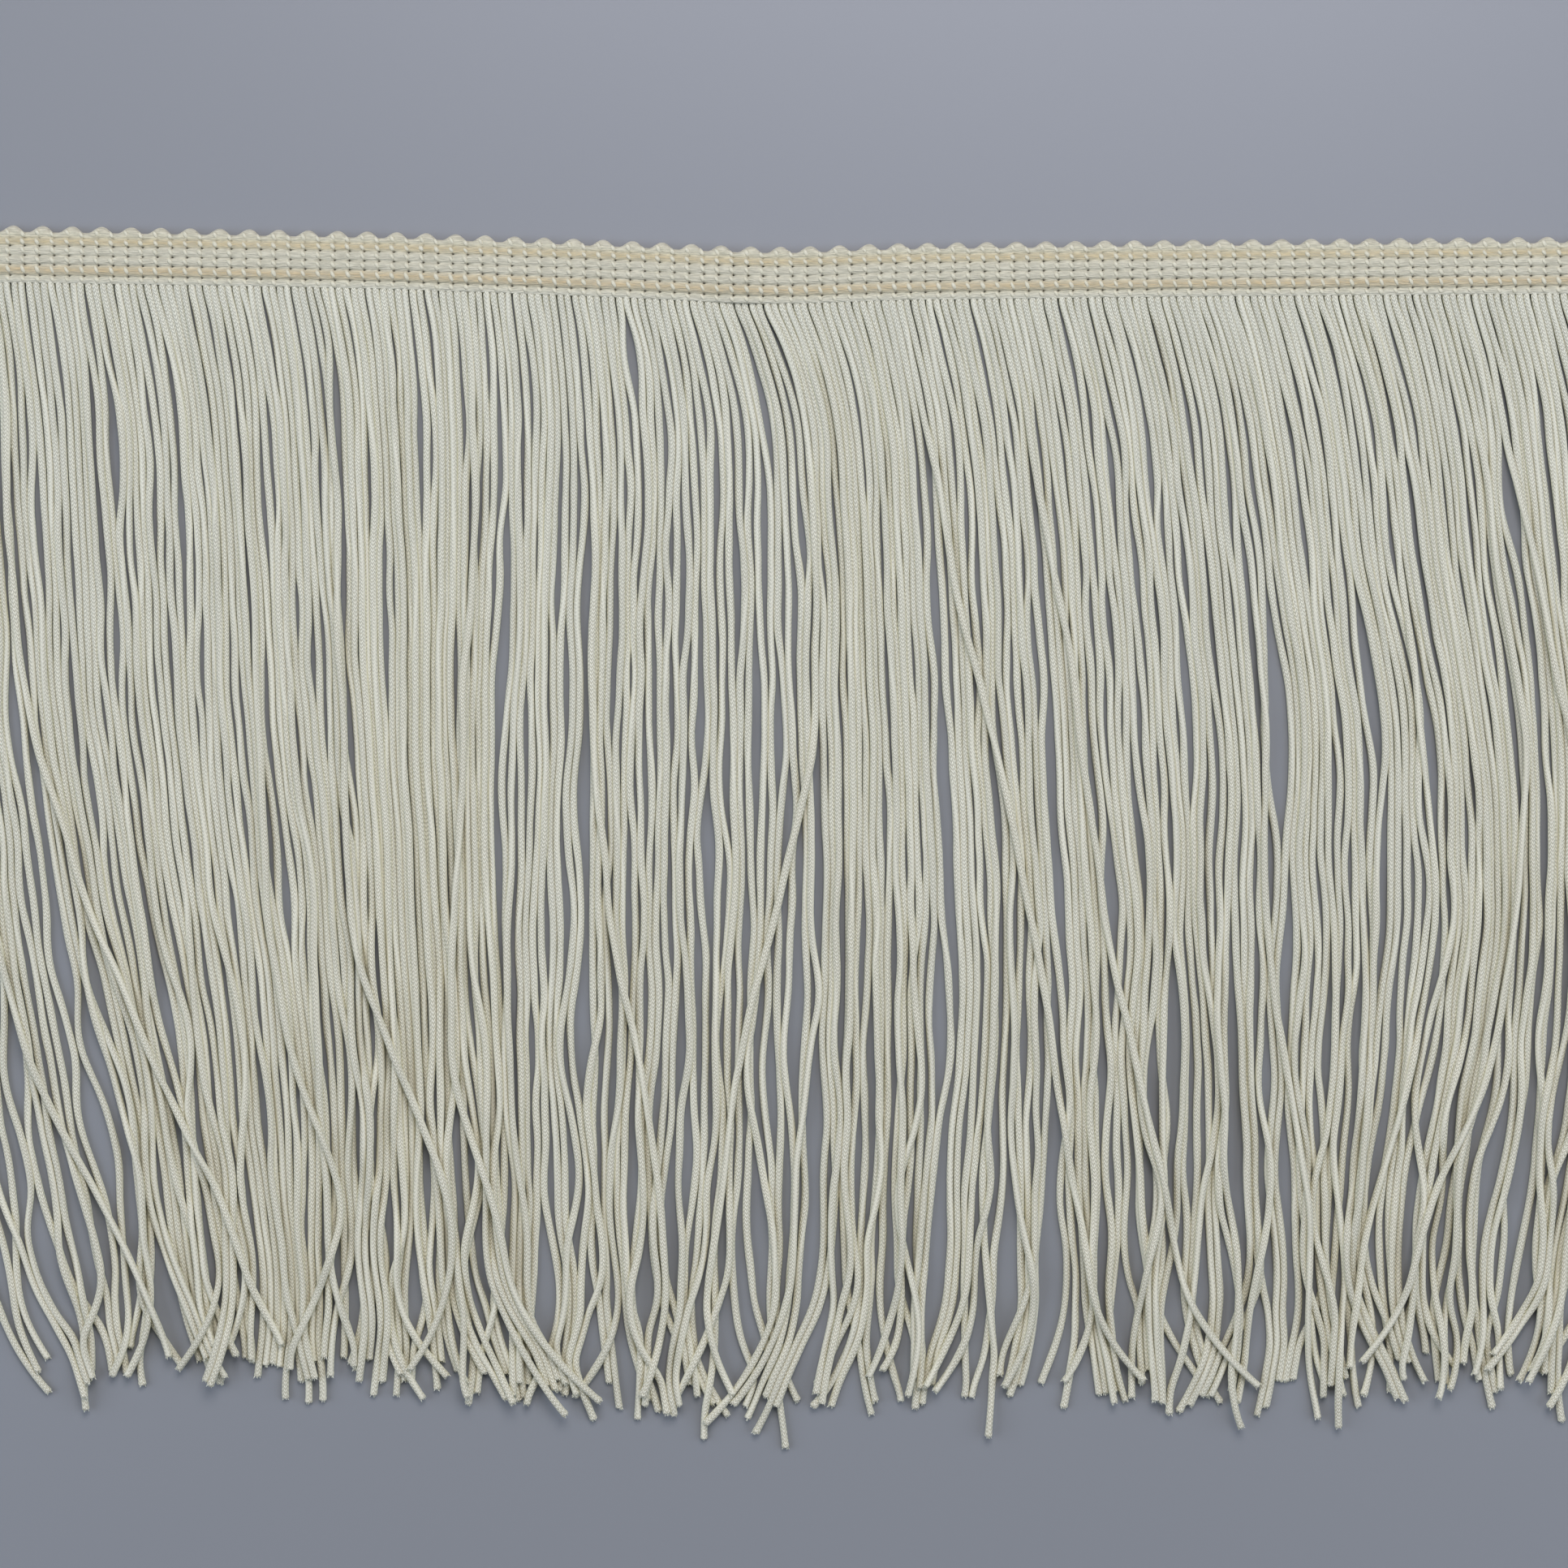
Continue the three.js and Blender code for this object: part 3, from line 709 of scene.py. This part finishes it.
def chainette_yarn():
    """Textured filament polyester, knitted as a narrow tube: soft sheen, and chains of V stitches."""
    material, tree, shader = new_material("chainette_polyester")
    uv = add_node(tree, "ShaderNodeUVMap", {"uv_map": "stitch"})
    place = add_node(tree, "ShaderNodeSeparateXYZ", links={0: uv})
    tone = add_node(tree, "ShaderNodeAttribute", {"attribute_name": "tone"})
    tones = add_node(tree, "ShaderNodeSeparateXYZ", links={0: tone.outputs["Vector"]})
    # Each wale is one chain. The legs of its stitches meet in a V, half a stitch on from the next one's.
    wale = add_node(tree, "ShaderNodeMath", {"operation": "FRACT"}, {0: place.outputs[0]})
    number = add_node(tree, "ShaderNodeMath", {"operation": "FLOOR"}, {0: place.outputs[0]})
    shift = add_node(
        tree, "ShaderNodeMath", {"operation": "MULTIPLY_ADD", 1: 0.5}, {0: number, 2: place.outputs[1]}
    )
    aside = add_node(tree, "ShaderNodeMath", {"operation": "SUBTRACT", 1: 0.5}, {0: wale})
    leg = add_node(tree, "ShaderNodeMath", {"operation": "ABSOLUTE"}, {0: aside})
    slant = add_node(tree, "ShaderNodeMath", {"operation": "MULTIPLY_ADD", 1: 1.3}, {0: leg, 2: shift})
    turn = add_node(tree, "ShaderNodeMath", {"operation": "MULTIPLY", 1: 2 * math.pi}, {0: slant})
    course = add_node(tree, "ShaderNodeMath", {"operation": "COSINE"}, {0: turn})
    bead = add_node(tree, "ShaderNodeMath", {"operation": "MULTIPLY_ADD", 1: 0.5, 2: 0.5}, {0: course})
    round_leg = add_node(tree, "ShaderNodeMath", {"operation": "MULTIPLY", 1: 2 * math.pi}, {0: leg})
    plump = add_node(tree, "ShaderNodeMath", {"operation": "SINE"}, {0: round_leg})
    plumper = add_node(tree, "ShaderNodeMath", {"operation": "MULTIPLY_ADD", 1: 0.7, 2: 0.3}, {0: plump})
    crest = add_node(tree, "ShaderNodeMath", {"operation": "MULTIPLY"}, {0: bead, 1: plumper})
    # One side of the tube has no stitches: there the yarn lies as a smooth rib.
    turned = add_node(
        tree, "ShaderNodeMath", {"operation": "MULTIPLY", 1: 2 * math.pi / WALES}, {0: place.outputs[0]}
    )
    facing = add_node(tree, "ShaderNodeMath", {"operation": "COSINE"}, {0: turned})
    rib = add_node(
        tree, "ShaderNodeMath", {"operation": "MULTIPLY_ADD", 1: 3.0, 2: -2.3, "use_clamp": True},
        {0: facing},
    )
    height = add_node(tree, "ShaderNodeMix", {"data_type": "FLOAT", 3: 0.5}, {0: rib, 2: crest})
    # The colour follows the bump's height: painted shade in the hollows of the stitches, and painted
    # highlight on their crests.
    low = add_node(
        tree, "ShaderNodeMix", {"data_type": "RGBA", 6: "#b4ac8f", 7: "#fcf4d5"}, {0: height}
    )
    high = add_node(
        tree, "ShaderNodeMix", {"data_type": "RGBA", 6: "#b5aa89", 7: "#fdf3d2"}, {0: height}
    )
    warmth = add_node(
        tree, "ShaderNodeMath", {"operation": "MULTIPLY_ADD", 1: 0.9, "use_clamp": True},
        {0: tones.outputs[1], 2: tones.outputs[2]},
    )
    warm = add_node(tree, "ShaderNodeMix", {"data_type": "RGBA"}, {0: warmth, 6: low, 7: high})
    dimming = add_node(tree, "ShaderNodeMath", {"operation": "MULTIPLY", 1: 0.12}, {0: tones.outputs[0]})
    yarn = add_node(tree, "ShaderNodeMix", {"data_type": "RGBA", 7: "#9b9784"}, {0: dimming, 6: warm})
    # The flanks, where cord faces cord, are painted warmer by the way they face: painted light, for the
    # light that comes through the yarn warmer than it goes in.
    shape = add_node(tree, "ShaderNodeNewGeometry")
    faces = add_node(tree, "ShaderNodeSeparateXYZ", links={0: shape.outputs["Normal"]})
    lowered = add_node(tree, "ShaderNodeMath", {"operation": "ADD", 1: 0.2}, {0: faces.outputs[2]})
    away = add_node(tree, "ShaderNodeMath", {"operation": "ABSOLUTE"}, {0: lowered})
    flank = add_node(
        tree, "ShaderNodeMath", {"operation": "MULTIPLY_ADD", 1: -1.6, 2: 1.0, "use_clamp": True},
        {0: away},
    )
    flank_painted_light = add_node(tree, "ShaderNodeMix", {"data_type": "RGBA", 7: "#f1efc0"}, {0: flank, 6: yarn})
    tree.links.new(flank_painted_light.outputs[2], shader.inputs["Base Color"])
    shader.inputs["Roughness"].default_value = 0.55
    shader.inputs["Sheen Weight"].default_value = 0.1
    bump = add_node(tree, "ShaderNodeBump", {"Strength": 0.9, "Distance": 0.1 * MM}, {"Height": height})
    tree.links.new(bump.outputs[0], shader.inputs["Normal"])
    return material


def braid_yarn():
    """Spun polyester of the heading: ivory with two beige warps, and duller and finer than the cords."""
    material, tree, shader = new_material("braid_polyester")
    place = add_node(tree, "ShaderNodeAttribute", {"attribute_name": "braid"})
    parts = add_node(tree, "ShaderNodeSeparateXYZ", links={0: place.outputs["Vector"]})
    share = add_node(
        tree, "ShaderNodeMath", {"operation": "DIVIDE", 1: float(len(HEADING_ROWS))},
        {0: parts.outputs[1]},
    )
    ramp = add_node(tree, "ShaderNodeValToRGB", links={0: share})
    stops = ramp.color_ramp.elements
    shades = [
        (0.0, "#d9d0b1"), (0.155, "#d1c5a0"), (0.2, "#ccb788"), (0.25, "#c8aa72"), (0.3, "#ccb789"),
        (0.345, "#cfc4a2"), (0.655, "#cfc4a2"), (0.7, "#cbb889"), (0.76, "#c8ae76"), (0.82, "#cdba8b"),
        (0.875, "#d3c7a0"), (1.0, "#d8ccab"),
    ]
    while len(stops) < len(shades):
        stops.new(0.5)
    for stop, (at, code) in zip(stops, shades):
        stop.position = at
        stop.color = linear(code)
    # Filaments run along the heading. They are drawn in bundles, about a quarter of a millimetre apart.
    # Where the bump sinks between bundles, the yarn is painted darker: painted shade.
    coords = add_node(tree, "ShaderNodeTexCoord")
    stretched = add_node(
        tree, "ShaderNodeMapping", {"Scale": (600, 4200, 600)}, {0: coords.outputs["Object"]}
    )
    noise = add_node(tree, "ShaderNodeTexNoise", {"Scale": 1.0, "Detail": 2.0}, {"Vector": stretched})
    lines = add_node(
        tree, "ShaderNodeMath", {"operation": "MULTIPLY_ADD", 1: 3.4, 2: -1.2, "use_clamp": True},
        {0: noise.outputs["Fac"]},
    )
    patches = add_node(
        tree, "ShaderNodeTexNoise", {"Scale": 420.0, "Detail": 2.0}, {"Vector": coords.outputs["Object"]}
    )
    faint = add_node(tree, "ShaderNodeMath", {"operation": "MULTIPLY", 1: 0.55}, {0: lines})
    lined = add_node(tree, "ShaderNodeMix", {"data_type": "RGBA", 7: "#8d8467"}, {0: faint, 6: ramp})
    fainter = add_node(
        tree, "ShaderNodeMath", {"operation": "MULTIPLY", 1: 0.3}, {0: patches.outputs["Fac"]}
    )
    mottled = add_node(
        tree, "ShaderNodeMix", {"data_type": "RGBA", 7: "#e6dbbc"}, {0: fainter, 6: lined}
    )
    # Inside the holes the yarn is painted dark: painted shade in the sunken holes.
    depth = add_node(
        tree, "ShaderNodeMath", {"operation": "MULTIPLY", 1: 1.1, "use_clamp": True},
        {0: parts.outputs[2]},
    )
    yarn = add_node(tree, "ShaderNodeMix", {"data_type": "RGBA", 7: "#6b6555"}, {0: depth, 6: mottled})
    tree.links.new(yarn.outputs[2], shader.inputs["Base Color"])
    shader.inputs["Roughness"].default_value = 0.6
    shader.inputs["Sheen Weight"].default_value = 0.15
    bump = add_node(tree, "ShaderNodeBump", {"Strength": 0.8, "Distance": -0.12 * MM}, {"Height": lines})
    tree.links.new(bump.outputs[0], shader.inputs["Normal"])
    return material


def stitch_yarn():
    """The binding yarn of the heading: bright ivory filament, a little glossier than the rest."""
    material, tree, shader = new_material("binding_polyester")
    coords = add_node(tree, "ShaderNodeTexCoord")
    fibres = add_node(
        tree, "ShaderNodeTexNoise", {"Scale": 900.0, "Detail": 2.0}, {"Vector": coords.outputs["Object"]}
    )
    yarn = add_node(
        tree, "ShaderNodeMix", {"data_type": "RGBA", 6: "#ccc19e", 7: "#ddd2b0"},
        {0: fibres.outputs["Fac"]},
    )
    tree.links.new(yarn.outputs[2], shader.inputs["Base Color"])
    shader.inputs["Roughness"].default_value = 0.45
    shader.inputs["Sheen Weight"].default_value = 0.2
    return material


def floor_paint():
    """Grey paint with a faint satin, which catches the light from beyond the heading."""
    material, tree, shader = new_material("floor_paint")
    shader.inputs["Base Color"].default_value = linear("#86847f")
    shader.inputs["Roughness"].default_value = 0.34
    return material


def add_floor():
    """A plain painted floor, far wider than the picture."""
    bpy.ops.mesh.primitive_plane_add(size=FLOOR_SIZE, location=(0, 0, 0))
    floor = bpy.context.object
    floor.name = "floor"
    floor.data.materials.append(floor_paint())


def add_camera():
    """A camera straight above the skirt, at the distance from which its lens takes in the frame."""
    data = bpy.data.cameras.new("camera")
    data.lens = LENS
    data.sensor_width = SENSOR
    camera = bpy.data.objects.new("camera", data)
    x, y = FRAME_CENTRE
    camera.location = (x * MM, y * MM, FRAME_WIDTH * MM * LENS / SENSOR)
    bpy.context.scene.collection.objects.link(camera)
    bpy.context.scene.camera = camera


def add_softbox(name, place, size, power, colour):
    """A square daylight softbox that faces the middle of the skirt."""
    data = bpy.data.lights.new(name, "AREA")
    data.color = linear(colour)[:3]
    data.size = size
    data.energy = power
    lamp = bpy.data.objects.new(name, data)
    lamp.location = place
    towards = Vector((0, FRAME_CENTRE[1] * MM, 0)) - Vector(place)
    lamp.rotation_euler = towards.to_track_quat("-Z", "Y").to_euler()
    bpy.context.scene.collection.objects.link(lamp)


def add_world():
    """Faint, even daylight from all round."""
    world = bpy.data.worlds.new("studio")
    world.use_nodes = True
    background = world.node_tree.nodes["Background"]
    background.inputs["Color"].default_value = linear(DAYLIGHT)
    background.inputs["Strength"].default_value = WORLD_STRENGTH
    bpy.context.scene.world = world


def set_view():
    """Colours are shown as they are, with no film curve."""
    scene = bpy.context.scene
    scene.view_settings.view_transform = "Standard"
    scene.view_settings.look = "None"


layout = skirt_layout()
yarn = chainette_yarn()
for bay in range(BAYS):
    cords = skirt_cords(layout, bay)
    cords.data.materials.append(yarn)
    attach(cords, "root")
    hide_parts(f"skirt_bay_{bay + 1}")

stitches = binding_stitches()
stitches.data.materials.append(stitch_yarn())
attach(stitches, "root")

braid = heading_braid()
braid.data.materials.append(braid_yarn())
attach(braid, "root")
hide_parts("heading")

add_floor()
add_camera()
for softbox in SOFTBOXES:
    add_softbox(**softbox)
add_world()
set_view()
